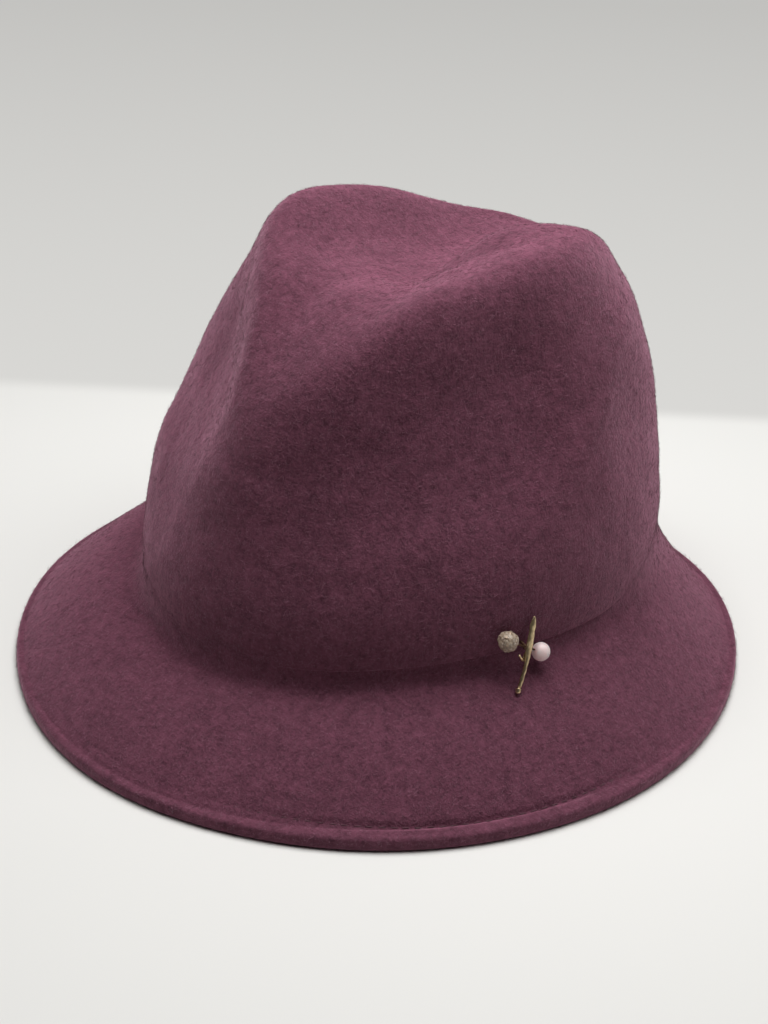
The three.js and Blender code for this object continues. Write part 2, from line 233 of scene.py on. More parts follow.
def grid_normals(grid):
    """Outward normals of a grid that is closed along its second axis."""
    across = np.roll(grid, -1, axis=1) - np.roll(grid, 1, axis=1)
    along = np.gradient(grid, axis=0)
    return unit(np.cross(across, along))


def closed_quads(rows, columns, wrap_rows=False):
    """Quads of a grid that is closed along its columns."""
    row = np.arange(rows if wrap_rows else rows - 1)[:, None]
    column = np.arange(columns)[None, :]
    after = (column + 1) % columns
    below, above = row * columns, ((row + 1) % rows) * columns
    quads = np.stack([below + column, below + after, above + after, above + column], axis=-1)
    return quads.reshape(-1, 4)


def capped(quads, rows, columns, first_inward):
    """The quads with a fan on the first and last row: the two middle points follow the grid's points."""
    faces = quads.tolist()
    last, middle = (rows - 1) * columns, rows * columns
    for i in range(columns):
        after = (i + 1) % columns
        if first_inward:
            faces.append([after, i, middle])
            faces.append([last + i, last + after, middle + 1])
        else:
            faces.append([i, after, middle])
            faces.append([last + after, last + i, middle + 1])
    return faces


def make_mesh(name, points, faces, material, smooth=True):
    """An object from points in millimetres, moved with the hat to the middle of the frame."""
    mesh = bpy.data.meshes.new(name)
    mesh.from_pydata(((points + shift) * MM).tolist(), [], [list(map(int, face)) for face in faces])
    mesh.polygons.foreach_set("use_smooth", [smooth] * len(mesh.polygons))
    mesh.materials.append(material)
    mesh.update()
    thing = bpy.data.objects.new(name, mesh)
    bpy.context.scene.collection.objects.link(thing)
    return thing


def dress(thing, slot, *nodes):
    """Puts the piece on the hat's one body and hides the solids that it replaces; the slot is not used."""
    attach(thing, "root")
    if nodes:
        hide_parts(*nodes)


# Crown: outer surface, rounded cut edge and inner surface as one closed shell
CROWN_TURNS = 360
OUTER_STEPS = [14, 24, 26, 30, 30, 22, 16]
INNER_STEPS = [2, 5, 6, 7, 7, 5, 4]
FELT_WAVES = [(0.55, 26), (0.28, 9), (0.10, 3.2)]
WAVE_PLACE = (31.7, 17.3, 5.1)
WAVE_FADE_RISE = 6
WAVE_FADE_LEAST = 0.25
EDGE_ROUND = 0.7
EDGE_CLEAR = 1.2
EDGE_REACH = 11
# The cut edge: share of the felt's thickness inward, and share of the rounding upward
EDGE_ROWS = [[0.97, 0.45], [0.86, 0.12], [0.64, 0], [0.36, 0], [0.14, 0.12], [0.03, 0.45], [0, 1]]


def climbs_of(steps):
    """Climbs between the crown's stations, with a number of steps for each span."""
    spans = zip(CROWN_STATIONS[:-1], CROWN_STATIONS[1:], steps)
    return np.concatenate([np.linspace(low, high, count, endpoint=False) for low, high, count in spans])


def waves(points):
    """Heights of a few layers of smooth noise at the points."""
    flat = points.reshape(-1, 3)
    heights = np.zeros(len(flat))
    for layer, (height, wavelength) in enumerate(FELT_WAVES):
        place = Vector((WAVE_PLACE[0], WAVE_PLACE[1] * layer, WAVE_PLACE[2]))
        heights += height * np.array([noise.noise(Vector(p / wavelength) + place) for p in flat])
    return heights.reshape(points.shape[:-1])[..., None]


def lifted(grid, angles):
    """The crown's surface with its cut edge moved to the height where the crease line shows."""
    start, _, _, _, finish = brim_lines(angles)
    foot = 1 - np.clip((grid[..., 2] - start[:, 2]) / EDGE_REACH, 0, 1)
    moved = grid.copy()
    moved[..., 2] += finish["line"] * foot
    return moved


def crown_shell():
    """The crown's points and faces, and the outer skin that carries the nap."""
    angles = crowded_angles(CROWN_TURNS)
    outer = crown_surface(angles, climbs_of(OUTER_STEPS))
    fade = np.clip((outer[..., 2:] - outer[:1, :, 2:]) / WAVE_FADE_RISE, WAVE_FADE_LEAST, 1)
    outer = outer + grid_normals(outer) * waves(outer) * fade
    inner = crown_surface(angles, climbs_of(INNER_STEPS))
    inner = inner - grid_normals(inner) * FELT
    inner[0, :, 2] = outer[0, :, 2]
    inward = unit(inner[0] - outer[0]) * FELT
    edge = np.array([outer[0] + inward * share + up * EDGE_ROUND * lift for share, lift in EDGE_ROWS])
    inner[0, :, 2] += EDGE_ROUND
    clear = outer[..., 2] > outer[:1, :, 2] + EDGE_ROUND * EDGE_CLEAR
    first_row = int(np.argmax(clear.all(axis=1)))
    shell = lifted(np.concatenate([inner[::-1], edge, outer[first_row:]]), angles)
    top = crown_surface(np.array([0.0]), np.array([1.0]))[0]
    points = np.vstack([shell.reshape(-1, 3), top - up * FELT, top])
    faces = capped(closed_quads(len(shell), CROWN_TURNS), len(shell), CROWN_TURNS, True)
    return points, faces, lifted(outer[first_row:], angles)


# Brim: one closed section turned round the head
BRIM_TURNS = 420
CURVE_STEPS = 24
SLOPE_STEPS = 43
LEAD_STEPS = 8
CREST_STEPS = 12
HEM_TURNS = 21
HEM_SQUARE = 0.6
HEM_LAST_TURN = -80
HEM_PUFF = 0.2
GROOVE_LEAD = 0.15
GROOVE_INNER = 0.8
GROOVE_OUTER = 1.3
FOLD_LEAN = 0.35
# Where the brim's felt comes out from under the crown: how far out from the crown's surface and how
# high above the crease line, first where the felt is creased and then where it runs on softly
HOOK_RISE = 0.6
HOOK_SINK = 0.5
LIP_OUT = (-1.6, -0.8)
LIP_RISE = (-0.3, 8.7)
HEAD_OUT = (-1.1, -0.35)
HEAD_RISE = (-0.45, 8)
BAND_OUT = (-0.8, 0.25)
BAND_HOLD = 0.45


def brim_grid(angles):
    """The brim's section in each direction, a row for each point, and the number of rows to the hem."""
    start, outward, width, slope_at, finish = brim_lines(angles)
    seam = start[:, 2]
    line = seam + finish["line"]
    roll = HEM_THICKNESS / 2
    crest = width - roll
    groove = width - GROOVE_INSET
    depth = GROOVE_DEPTH * finish["groove"]

    def pair(out, height):
        return np.stack([out + 0 * width, height + 0 * width], axis=-1)

    def curve(a, b, c, d):
        return [(1 - t) ** 3 * a + 3 * t * (1 - t) ** 2 * b + 3 * t * t * (1 - t) * c + t ** 3 * d
                for t in np.linspace(0, 1, CURVE_STEPS)]

    def slope_from(first):
        shares = np.linspace(0, 1, SLOPE_STEPS + 1)[1:]
        steps = [first + (width - HEM_WIDTH - first) * share for share in shares]
        return [pair(out, slope_at(out)) for out in steps]

    def eased(creased_and_soft):
        creased, soft = creased_and_soft
        return creased + (soft - creased) * finish["soft"]

    def under_side():
        first = COLLAR_OUT + CREASE_BLEND
        corner = pair(COLLAR_OUT, slope_at(COLLAR_OUT))
        bend = curve(corner + [0, CREASE_BLEND], corner, corner, pair(first, slope_at(first)))
        plain = np.array([collar_top, *bend, *slope_from(first)])
        along = unit(np.gradient(plain, axis=0))
        return plain + FELT * np.stack([along[..., 1], -along[..., 0]], axis=-1)

    def upper_side():
        band = eased(BAND_OUT)
        reach = band + finish["reach"]
        head, foot = line + eased(HEAD_RISE), slope_at(band)
        hook = eased((line + HOOK_RISE, seam + COLLAR_HEIGHT - HOOK_SINK))
        lip = pair(eased(LIP_OUT), line + eased(LIP_RISE))
        bend = curve(pair(eased(HEAD_OUT), head), pair(band, foot + BAND_HOLD * (head - foot)),
                     pair(band, foot), pair(reach, slope_at(reach)))
        return np.array([collar_top, pair(COLLAR_OUT, hook), lip, *bend, *slope_from(reach)])

    collar_top = pair(COLLAR_OUT, seam + COLLAR_HEIGHT)
    under, upper = under_side(), upper_side()
    hem = []
    for out in np.linspace(-HEM_WIDTH, -GROOVE_INSET - GROOVE_LEAD, LEAD_STEPS + 1)[1:]:
        at = width + out
        dip = depth * np.exp(-((at - groove) / GROOVE_INNER) ** 2)
        hem.append(pair(at, slope_at(at) - dip))
    hem.append(pair(groove, slope_at(groove) - depth))
    for out in np.linspace(0, GROOVE_INSET - roll, CREST_STEPS + 1)[1:]:
        dip = depth * np.exp(-(out / GROOVE_OUTER) ** 2)
        puff = HEM_PUFF * finish["groove"] * math.sin(math.pi * out / (GROOVE_INSET - roll))
        hem.append(pair(groove + out, np.maximum(slope_at(groove + out), HEM_THICKNESS) + puff - dip))
    for turn in np.radians(np.linspace(90, HEM_LAST_TURN, HEM_TURNS + 1)[1:]):
        across, rise = math.cos(turn), math.sin(turn)
        hem.append(pair(crest + roll * across ** HEM_SQUARE,
                        roll + roll * math.copysign(abs(rise) ** HEM_SQUARE, rise)))
    hem.append(pair(crest, 0))
    hem.append(pair(crest - roll, 0))
    fold = under[-1] - [0, FELT]
    hem.append((hem[-1] + fold) / 2)
    hem.append(fold)
    hem.append((fold + under[-1]) / 2 - [FOLD_LEAN, 0])
    section = np.concatenate([upper, np.array(hem), under[::-1]])
    out, height = section[..., 0], section[..., 1]
    near = off_oval(angles[None, :], np.minimum(out, 0), height - seam)
    far = np.stack([start[:, 0] + outward[:, 0] * out, start[:, 1] + outward[:, 1] * out, height], axis=-1)
    return np.where(out[..., None] <= 0, near, far), len(upper)


brim_angles = crowded_angles(BRIM_TURNS)
brim_rows, slope_rows = brim_grid(brim_angles)
brim_points = brim_rows.reshape(-1, 3)
brim_faces = closed_quads(len(brim_rows), BRIM_TURNS, wrap_rows=True)[:, ::-1]
groove_row = slope_rows + LEAD_STEPS
hem_end_row = groove_row + 1 + CREST_STEPS + HEM_TURNS
crown_points, crown_faces, crown_skin = crown_shell()

# The hat stands with the middle of its box over the origin
middle = (brim_points.min(axis=0) + brim_points.max(axis=0)) / 2
shift = np.array([-middle[0], -middle[1], 0])


# Materials
class Graph:
    """A new material's nodes: an input that is given an output is linked to it, any other is set."""

    def __init__(self, name):
        self.material = bpy.data.materials.new(name)
        self.material.use_nodes = True
        self.nodes = self.material.node_tree.nodes
        self.shader = self.nodes["Principled BSDF"]

    def feed(self, node, inputs):
        for name, value in inputs.items():
            if isinstance(value, bpy.types.NodeSocket):
                self.material.node_tree.links.new(value, node.inputs[name])
            else:
                node.inputs[name].default_value = value

    def add(self, kind, inputs, operation=None):
        node = self.nodes.new("ShaderNode" + kind)
        if operation:
            node.operation = operation
        self.feed(node, inputs)
        return node

    def place(self):
        return self.add("TexCoord", {}).outputs["Object"]


# Painted sheen: how much brighter the felt's colour is painted where its surface is seen edge-on, and how
# sharply that rises
PAINTED_SHEEN_GAIN = 1.6
PAINTED_SHEEN_POWER = 3.0
# Wavelength in mm, detail and roughness of the felt's textures
FELT_TEXTURES = {"broad": (22, 2, 0.55), "mottle": (3.4, 4, 0.62), "grain": (0.55, 3, 0.6)}
STRAND_TEXTURE = (0.9, 2, 0.5)
# The strands' stretch along the three axes, and their turn
STRAND_ROWS = [
    [(1, 1, 0.22), (0.5, 0.3, 0.2)],
    [(0.22, 1, 1), (0.2, 0.9, 1.1)],
    [(1, 0.22, 1), (1.3, 0.4, 0.7)],
]


def felt_material(name, dark, light):
    """Wool felt: mottled colour, short tangled fibres in the bump and a soft sheen, plus painted sheen: the
    colour is made brighter where the surface is seen edge-on.
    """
    graph = Graph(name)
    place = graph.place()

    def texture(settings, stretch=(1, 1, 1), turn=(0, 0, 0)):
        wavelength, detail, roughness = settings
        mapped = graph.add("Mapping", {"Vector": place, "Scale": [s / (wavelength * MM) for s in stretch],
                                       "Rotation": turn})
        return graph.add("TexNoise", {"Vector": mapped.outputs["Vector"], "Scale": 1.0, "Detail": detail,
                                      "Roughness": roughness}).outputs["Fac"]

    def mix(a, b, share):
        return graph.add("Math", {0: a, 1: share, 2: b}, "MULTIPLY_ADD").outputs[0]

    broad, mottle, grain = (texture(settings) for settings in FELT_TEXTURES.values())
    strands = [texture(STRAND_TEXTURE, stretch, turn) for stretch, turn in STRAND_ROWS]
    tangle = mix(mix(strands[0], strands[1], 1.0), strands[2], 1.0)
    tone = mix(grain, mix(broad, mix(tangle, mottle, 0.55), 0.35), 0.5)
    spread = graph.add("MapRange", {"Value": tone, "From Min": 1.34, "From Max": 2.12})
    colour = graph.add("MixRGB", {"Fac": spread.outputs["Result"], "Color1": (*dark, 1),
                                  "Color2": (*light, 1)})
    # Painted sheen: the colour is scaled up towards where the surface is seen edge-on
    facing = graph.add("LayerWeight", {"Blend": 0.5}).outputs["Facing"]
    steep = graph.add("Math", {0: facing, 1: PAINTED_SHEEN_POWER}, "POWER").outputs[0]
    gain = graph.add("Math", {0: steep, 1: PAINTED_SHEEN_GAIN, 2: 1.0}, "MULTIPLY_ADD").outputs[0]
    painted_sheen_colour = graph.add("VectorMath", {"Vector": colour.outputs["Color"], "Scale": gain}, "SCALE")
    height = mix(mottle, mix(tangle, grain, 0.8), 1.6)
    bump = graph.add("Bump", {"Strength": 0.55, "Distance": 0.45 * MM, "Height": height})
    graph.feed(graph.shader, {
        "Base Color": painted_sheen_colour.outputs["Vector"], "Normal": bump.outputs["Normal"], "Roughness": 0.92,
        "Specular IOR Level": 0.18, "Sheen Weight": 0.5, "Sheen Roughness": 0.40,
        "Sheen Tint": (0.86, 0.50, 0.64, 1)})
    return graph.material


def fibre_material(name, colour, roughness=0.7):
    """A single wool fibre or thread."""
    graph = Graph(name)
    graph.feed(graph.shader, {"Base Color": (*colour, 1), "Roughness": roughness, "Sheen Weight": 0.3,
                              "Specular IOR Level": 0.3})
    return graph.material


def metal_material(name, colour, dark, roughness):
    """Dull hammered brass with a little darkening in its hollows."""
    graph = Graph(name)
    wear = graph.add("TexNoise", {"Vector": graph.place(), "Scale": 900, "Detail": 4}).outputs["Fac"]
    blend = graph.add("MixRGB", {"Fac": wear, "Color1": (*dark, 1), "Color2": (*colour, 1)})
    rough = graph.add("MapRange", {"Value": wear, "To Min": roughness + 0.12, "To Max": roughness - 0.06})
    bump = graph.add("Bump", {"Strength": 0.4, "Distance": 0.2 * MM, "Height": wear})
    graph.feed(graph.shader, {"Metallic": 1.0, "Base Color": blend.outputs["Color"],
                              "Roughness": rough.outputs["Result"], "Normal": bump.outputs["Normal"]})
    return graph.material


def pearl_material():
    """A pale pink pearl with a soft depth."""
    graph = Graph("pink_pearl")
    graph.feed(graph.shader, {
        "Base Color": (0.94, 0.74, 0.73, 1), "Roughness": 0.32, "Subsurface Weight": 0.45,
        "Subsurface Radius": (2 * MM, MM, MM), "Coat Weight": 0.35, "Coat Roughness": 0.25,
        "Sheen Weight": 0.2})
    return graph.material


def crystal_material():
    """Small grey and tan crystals, a few of them gilt."""
    graph = Graph("rough_crystal")
    grain = graph.add("TexVoronoi", {"Vector": graph.place(), "Scale": 1250})
    split = graph.add("SeparateColor", {"Color": grain.outputs["Color"]})
    colours = graph.add("ValToRGB", {"Fac": split.outputs["Red"]})
    colours.color_ramp.elements[0].color = (0.21, 0.15, 0.105, 1)
    colours.color_ramp.elements[1].color = (0.52, 0.43, 0.35, 1)
    colours.color_ramp.elements.new(0.55).color = (0.34, 0.255, 0.18, 1)
    gilt = graph.add("Math", {0: split.outputs["Green"], 1: 0.9}, "GREATER_THAN")
    graph.feed(graph.shader, {"Base Color": colours.outputs["Color"], "Metallic": gilt.outputs["Value"],
                              "Roughness": 0.45, "Coat Weight": 0.25})
    return graph.material


FELT_DARK = (0.070, 0.0214, 0.036)
FELT_LIGHT = (0.180, 0.0585, 0.094)
crown_felt = felt_material("crown_felt", FELT_DARK, FELT_LIGHT)
brim_felt = felt_material("brim_felt", FELT_DARK, FELT_LIGHT)
nap_pale = fibre_material("nap_pale", (0.31, 0.132, 0.19))
nap_deep = fibre_material("nap_deep", (0.149, 0.048, 0.077))

dress(make_mesh("crown_felt_shell", crown_points, crown_faces, crown_felt), "crown_felt", "crown")
dress(make_mesh("brim_felt_shell", brim_points, brim_faces, brim_felt), "brim_felt", "brim")

# Nap: short loose fibres that start in the felt and lie on it, all of them above the floor
FIBRE_FLOOR = 0.1
FIBRE_ROOT = 0.05
CROWN_FIBRES = 52000
BRIM_FIBRES = 40000
# Length, rise as a share of the length, and width
PALE_FIBRE = [(0.8, 2.6), (0.02, 0.30), 0.055]
DEEP_FIBRE = [(0.8, 2.2), (0.02, 0.40), 0.075]
# Curl: its spread, and how far it twists the ribbon
CURL_SPREAD = 0.45
CURL_TWIST = 3
# Bend and tip: sideways share of the curl, share of the length and share of the rise
BEND_CURL, BEND_ALONG, BEND_RISE = 0.5, 0.5, 0.6
TIP_CURL, TIP_ALONG, TIP_RISE = 1.6, 0.95, (0.2, 1.4)


def spread_on(grid, normals, count):
    """Random points of a grid's surface, even over its area, with their normals."""
    a, b = grid[:-1], grid[1:]
    area = np.linalg.norm(np.cross(np.roll(a, -1, axis=1) - a, b - a), axis=-1)
    share = np.cumsum(area.ravel()) / area.sum()
    cell = np.searchsorted(share, rng.random(count))
    u, v = rng.random((2, count, 1))

    def between(field):
        low, high = field[:-1].reshape(-1, 3), field[1:].reshape(-1, 3)
        low_next = np.roll(field[:-1], -1, axis=1).reshape(-1, 3)
        high_next = np.roll(field[1:], -1, axis=1).reshape(-1, 3)
        lower = low[cell] * (1 - u) + low_next[cell] * u
        upper = high[cell] * (1 - u) + high_next[cell] * u
        return lower * (1 - v) + upper * v

    return between(grid), unit(between(normals))


def fibre_corners(points, normals, lengths, rises, width):
    """Five corners for each fibre: a tapered ribbon that starts in the felt, runs along it and bends."""
    count = len(points)
    loose = rng.normal(size=(count, 3))
    along = unit(loose - normals * np.sum(loose * normals, axis=-1, keepdims=True))
    side = np.cross(normals, along)
    length = rng.uniform(*lengths, (count, 1))
    rise = rng.uniform(*rises, (count, 1)) * length
    curl = np.clip(rng.normal(0, CURL_SPREAD, (count, 1)), -1, 1)
    tip_rise = rise * rng.uniform(*TIP_RISE, (count, 1))
    half = (side * np.cos(curl * CURL_TWIST) + normals * np.sin(curl * CURL_TWIST)) * width / 2
    root = points - normals * FIBRE_ROOT
    bend = points + (along + side * curl * BEND_CURL) * length * BEND_ALONG + normals * rise * BEND_RISE
    tip = points + (along + side * curl * TIP_CURL) * length * TIP_ALONG + normals * tip_rise
    corners = np.stack([root - half, root + half, bend - half, bend + half, tip], axis=1)
    corners[..., 2] = np.maximum(corners[..., 2], FIBRE_FLOOR)
    return corners


def nap(name, grid, normals, count, fibre, material, slot):
    """Fibres spread over a grid, as one mesh."""
    corners = fibre_corners(*spread_on(grid, normals, count), *fibre)
    base = np.arange(count)[:, None] * 5
    triangles = np.concatenate([base + [0, 1, 3], base + [0, 3, 2], base + [2, 3, 4]])
    vertices = ((corners.reshape(-1, 3) + shift) * MM).astype(np.float32)
    mesh = bpy.data.meshes.new(name)
    mesh.vertices.add(len(vertices))
    mesh.vertices.foreach_set("co", vertices.ravel())
    mesh.loops.add(triangles.size)
    mesh.loops.foreach_set("vertex_index", triangles.ravel().astype(np.int32))
    mesh.polygons.add(len(triangles))
    mesh.polygons.foreach_set("loop_start", np.arange(0, triangles.size, 3, dtype=np.int32))
    mesh.polygons.foreach_set("use_smooth", [True] * len(triangles))
    mesh.materials.append(material)
    mesh.update(calc_edges=True)
    thing = bpy.data.objects.new(name, mesh)
    bpy.context.scene.collection.objects.link(thing)
    dress(thing, slot)


FIRST_NAP_ROW = 3
crown_normals = grid_normals(crown_skin)
brim_skin = brim_rows[FIRST_NAP_ROW:hem_end_row]
brim_normals = -grid_normals(brim_skin)
nap("crown_nap_pale", crown_skin, crown_normals, CROWN_FIBRES, PALE_FIBRE, nap_pale, "crown_felt")
nap("crown_nap_deep", crown_skin, crown_normals, CROWN_FIBRES, DEEP_FIBRE, nap_deep, "crown_felt")
nap("brim_nap_pale", brim_skin, brim_normals, BRIM_FIBRES, PALE_FIBRE, nap_pale, "brim_felt")
nap("brim_nap_deep", brim_skin, brim_normals, BRIM_FIBRES, DEEP_FIBRE, nap_deep, "brim_felt")


# Round and bent bodies
def lathe(profile, sides):
    """A closed body of revolution round X from (along, radius) pairs that start and end at radius zero."""
    turn = 2 * np.pi * np.arange(sides) / sides
    rings = [np.stack([np.full(sides, x), r * np.cos(turn), r * np.sin(turn)], axis=-1)
             for x, r in profile[1:-1]]
    points = np.vstack([*rings, [[profile[0][0], 0, 0]], [[profile[-1][0], 0, 0]]])
    return points, capped(closed_quads(len(rings), sides)[:, ::-1], len(rings), sides, False)


def rod(start, end, diameter):
    """A straight round rod with small bevels."""
    length = np.linalg.norm(end - start)
    radius, bevel = diameter / 2, diameter * 0.12
    profile = [(-length / 2, 0), (-length / 2, radius - bevel), (-length / 2 + bevel, radius),
               (length / 2 - bevel, radius), (length / 2, radius - bevel), (length / 2, 0)]
    return placed(lathe(profile, 16), (start + end) / 2, end - start, up)


def bent_wire(line, diameter):
    """A round wire along a few points, with closed ends."""
    sides = 10
    line = np.array(line)
    path = through(np.linspace(0, 1, len(line)), line, np.linspace(0, 1, 40))
    along = unit(np.gradient(path, axis=0))
    side = unit(np.cross(along, outward + 0.3 * up))
    other = np.cross(along, side)
    turn = 2 * np.pi * np.arange(sides)[:, None] / sides
    rings = path[:, None] + diameter / 2 * (side[:, None] * np.cos(turn) + other[:, None] * np.sin(turn))
    points = np.vstack([rings.reshape(-1, 3), path[:1], path[-1:]])
    return points, capped(closed_quads(len(path), sides), len(path), sides, True)


def joined(parts):
    """Several (points, faces) pieces as one."""
    points, faces, start = [], [], 0
    for some_points, some_faces in parts:
        points.append(some_points)
        faces.extend([[index + start for index in face] for face in some_faces])
        start += len(some_points)
    return np.vstack(points), faces


def placed(part, centre, along, upright):
    """A (points, faces) piece with its X along one direction and its Z near another."""
    points, faces = part
    x = unit(np.array(along, float))
    z = unit(upright - x * np.dot(upright, x))
    return points @ np.array([x, np.cross(z, x), z]) + np.array(centre), faces


# Stitches in the hem's groove
STITCH_PITCH = 3.9
STITCH_LENGTH = 2.5
STITCH_LIFT = 0.12
STITCH_SINK = 0.5
# Share of the half length from the middle, and radius
STITCH_ROWS = [[-1, 0], [-0.9, 0.13], [-0.5, 0.2], [0, 0.21], [0.5, 0.2], [0.9, 0.13], [1, 0]]


def stitches():
    """Stitches along the groove, sunk where the groove is shallow."""
    line = np.vstack([brim_rows[groove_row], brim_rows[groove_row][:1]])
    travelled = np.concatenate([[0], np.cumsum(np.linalg.norm(np.diff(line, axis=0), axis=-1))])
    length = travelled[-1]
    share = brim_lines(brim_angles)[-1]["groove"]
    shares = np.append(share, share[0])
    form = lathe([(along * STITCH_LENGTH / 2, radius) for along, radius in STITCH_ROWS], 8)
    count = int(length / STITCH_PITCH)
    made = []
    for k in range(count):
        at = (k + rng.uniform(-0.06, 0.06)) * length / count
        here, there = (np.array([np.interp(q % length, travelled, line[:, c]) for c in range(3)])
                       for q in (at, at + STITCH_LENGTH * 0.3))
        sink = STITCH_SINK * (1 - np.interp(at % length, travelled, shares))
        lean = up * rng.uniform(-0.05, 0.05)
        made.append(placed(form, here + up * (STITCH_LIFT - sink), there - here + lean, up))
    return joined(made)


thread = fibre_material("hem_thread", (0.075, 0.022, 0.034), 0.6)
dress(make_mesh("hem_stitches", *stitches(), thread), "brim_felt")

# Brooch: the sizes and places of the bar, the cross wire, the beads and the post, as in the part's source
BAR_TOP_ANGLE = 76
BAR_TOP_HEIGHT = 14
BAR_FOOT_ANGLE = 71.7
BAR_FOOT_REACH = 7.8
BAR_FOOT_DROP = 9.9
BAR_THICKNESS = 1.5
BAR_STAND = BAR_THICKNESS / 2 + 2 * GAP
CROSS_SHARE = 0.385
WIRE_DIAMETER = 0.9
PEARL_DIAMETER = 6.3
PEARL_REACH = 6.9
ROUGH_BEAD_DIAMETER = 6.8
ROUGH_BEAD_REACH = 9.2
WIRE_SLOPE = math.radians(-30)
POST_DIAMETER = 1.1
CLUTCH_THICKNESS = 3.2

# The bar as drawn lies on the felt as drawn: how far its top and its foot are from the solid bar's, in
# degrees round the head and in millimetres. The wire is drawn thinner than the solid wire
DRAWN_TOP_TURN = 0.4
DRAWN_TOP_LIFT = 0.3
DRAWN_FOOT_TURN = -0.7
DRAWN_FOOT_OUT = 1.6
DRAWN_FOOT_LIFT = 1.8
DRAWN_WIRE_SHARE = 0.7
BAR_BEND = 1.0
BAR_BEND_SHARE = 0.6
BAR_SIDES = 16
BAR_STEPS = 70
BAR_FLATNESS = 0.7
BAR_DENT = 0.22
BAR_DENT_SCALE = (0.55, 0.9, 0.9)
BAR_DENT_PLACE = (0, 0, 4)
# Share of the bar's length from its top, width and thickness
BAR_ROWS = [
    [0.000, 0.10, 0.10], [0.012, 0.85, 0.60], [0.05, 1.70, 0.95], [0.13, 2.35, 1.15], [0.28, 2.70, 1.25],
    [0.40, 2.55, 1.20], [0.50, 2.10, 1.15], [0.58, 1.60, 1.15], [0.64, 1.42, 1.25], [0.76, 1.36, 1.30],
    [0.912, 1.36, 1.32], [0.918, 0.90, 0.90], [0.927, 0.90, 0.90], [0.932, 1.66, 1.60], [0.985, 1.66, 1.60],
    [0.997, 1.25, 1.20], [1.000, 0.10, 0.10],
]
# The thin wire's turns round the bar: all of them in radians, where they start above the crossing,
# how far they go down the bar for each radian, and how far they stand off it
WRAP_TURN = 2.6 * 2 * np.pi
WRAP_START = 0.65
WRAP_PITCH = 0.079755
WRAP_WIDTH = 1.45
WRAP_DEPTH = 0.95
WRAP_DIAMETER = 0.4
TAIL_DIAMETER = 0.8
# The tail from the crossing: down the bar, back along the wire and out
TAIL_ROWS = [[3.2, 0.1, -0.5], [4.6, 0.3, 0.0], [4.3, 1.8, 0.6], [3.1, 3.8, 0.9]]

bar_top = off_oval(BAR_TOP_ANGLE, BAR_STAND, BAR_TOP_HEIGHT)
bar_foot = off_oval(BAR_FOOT_ANGLE, BAR_FOOT_REACH, -BAR_FOOT_DROP)
drawn_top = off_oval(BAR_TOP_ANGLE + DRAWN_TOP_TURN, BAR_STAND, BAR_TOP_HEIGHT + DRAWN_TOP_LIFT)
drawn_foot = off_oval(BAR_FOOT_ANGLE + DRAWN_FOOT_TURN, BAR_FOOT_REACH + DRAWN_FOOT_OUT,
                      DRAWN_FOOT_LIFT - BAR_FOOT_DROP)
bar_length = np.linalg.norm(bar_foot - bar_top)
bar_axis = (bar_foot - bar_top) / bar_length
crossing = bar_top + (bar_foot - bar_top) * CROSS_SHARE
bar_angle = BAR_TOP_ANGLE + (BAR_FOOT_ANGLE - BAR_TOP_ANGLE) * CROSS_SHARE
outward = off_oval(bar_angle, 1, 0) - off_oval(bar_angle, 0, 0)
wire_along = np.cross(up, outward) * math.cos(WIRE_SLOPE) + up * math.sin(WIRE_SLOPE)
pearl_centre = crossing + wire_along * PEARL_REACH
rough_centre = crossing - wire_along * ROUGH_BEAD_REACH


def hammered_bar():
    """The bar: a flat blade that narrows to a rod with a ring and a cap at its foot."""
    rows = np.array(BAR_ROWS)
    shares = np.unique(np.concatenate([np.linspace(0, 1, BAR_STEPS), rows[:, 0]]))
    widths, depths = (np.interp(shares, rows[:, 0], rows[:, c])[:, None] / 2 for c in (1, 2))
    turn = 2 * np.pi * np.arange(BAR_SIDES) / BAR_SIDES
    flat = np.sign(np.sin(turn)) * np.abs(np.sin(turn)) ** BAR_FLATNESS
    along = np.repeat(((shares - 0.5) * bar_length)[:, None], BAR_SIDES, axis=1)
    rings = np.stack([along, widths * np.cos(turn), depths * flat], axis=-1)
    places = rings.reshape(-1, 3) * BAR_DENT_SCALE + BAR_DENT_PLACE
    dents = np.array([noise.noise(Vector(place)) for place in places]).reshape(rings.shape[:2])
    rings[..., 1:] *= 1 + BAR_DENT * dents[..., None]
    bend = np.minimum(shares / BAR_BEND_SHARE, (1 - shares) / (1 - BAR_BEND_SHARE))
    rings[..., 1] += BAR_BEND * bend[:, None]
    points = np.vstack([rings.reshape(-1, 3), [[-bar_length / 2, 0, 0]], [[bar_length / 2, 0, 0]]])
    faces = capped(closed_quads(len(shares), BAR_SIDES)[:, ::-1], len(shares), BAR_SIDES, False)
    return placed((points, faces), (drawn_top + drawn_foot) / 2, drawn_foot - drawn_top, outward)


def wrap_line():
    """The thin wire's turns round the bar at the crossing."""
    across = np.cross(bar_axis, outward)
    return [crossing + bar_axis * (t * WRAP_PITCH - WRAP_START) + across * WRAP_WIDTH * math.cos(t)
            + outward * WRAP_DEPTH * math.sin(t) for t in np.linspace(0, WRAP_TURN, 18)]


def tail_line():
    """The wire's short bright end."""
    return wrap_line()[-1:] + [crossing + bar_axis * down - wire_along * back_along + outward * out
                               for down, back_along, out in TAIL_ROWS]


def cross_and_post():
    """The wire from bead to bead, the post through the felt and the wrapped wire."""
    stand_off = BAR_STAND + (BAR_FOOT_REACH - BAR_STAND) * CROSS_SHARE
    post_tip = crossing - outward * (stand_off + 2 * FELT + CLUTCH_THICKNESS)
    return joined([rod(rough_centre, pearl_centre, WIRE_DIAMETER * DRAWN_WIRE_SHARE),
                   rod(crossing, post_tip, POST_DIAMETER), bent_wire(wrap_line(), WRAP_DIAMETER)])


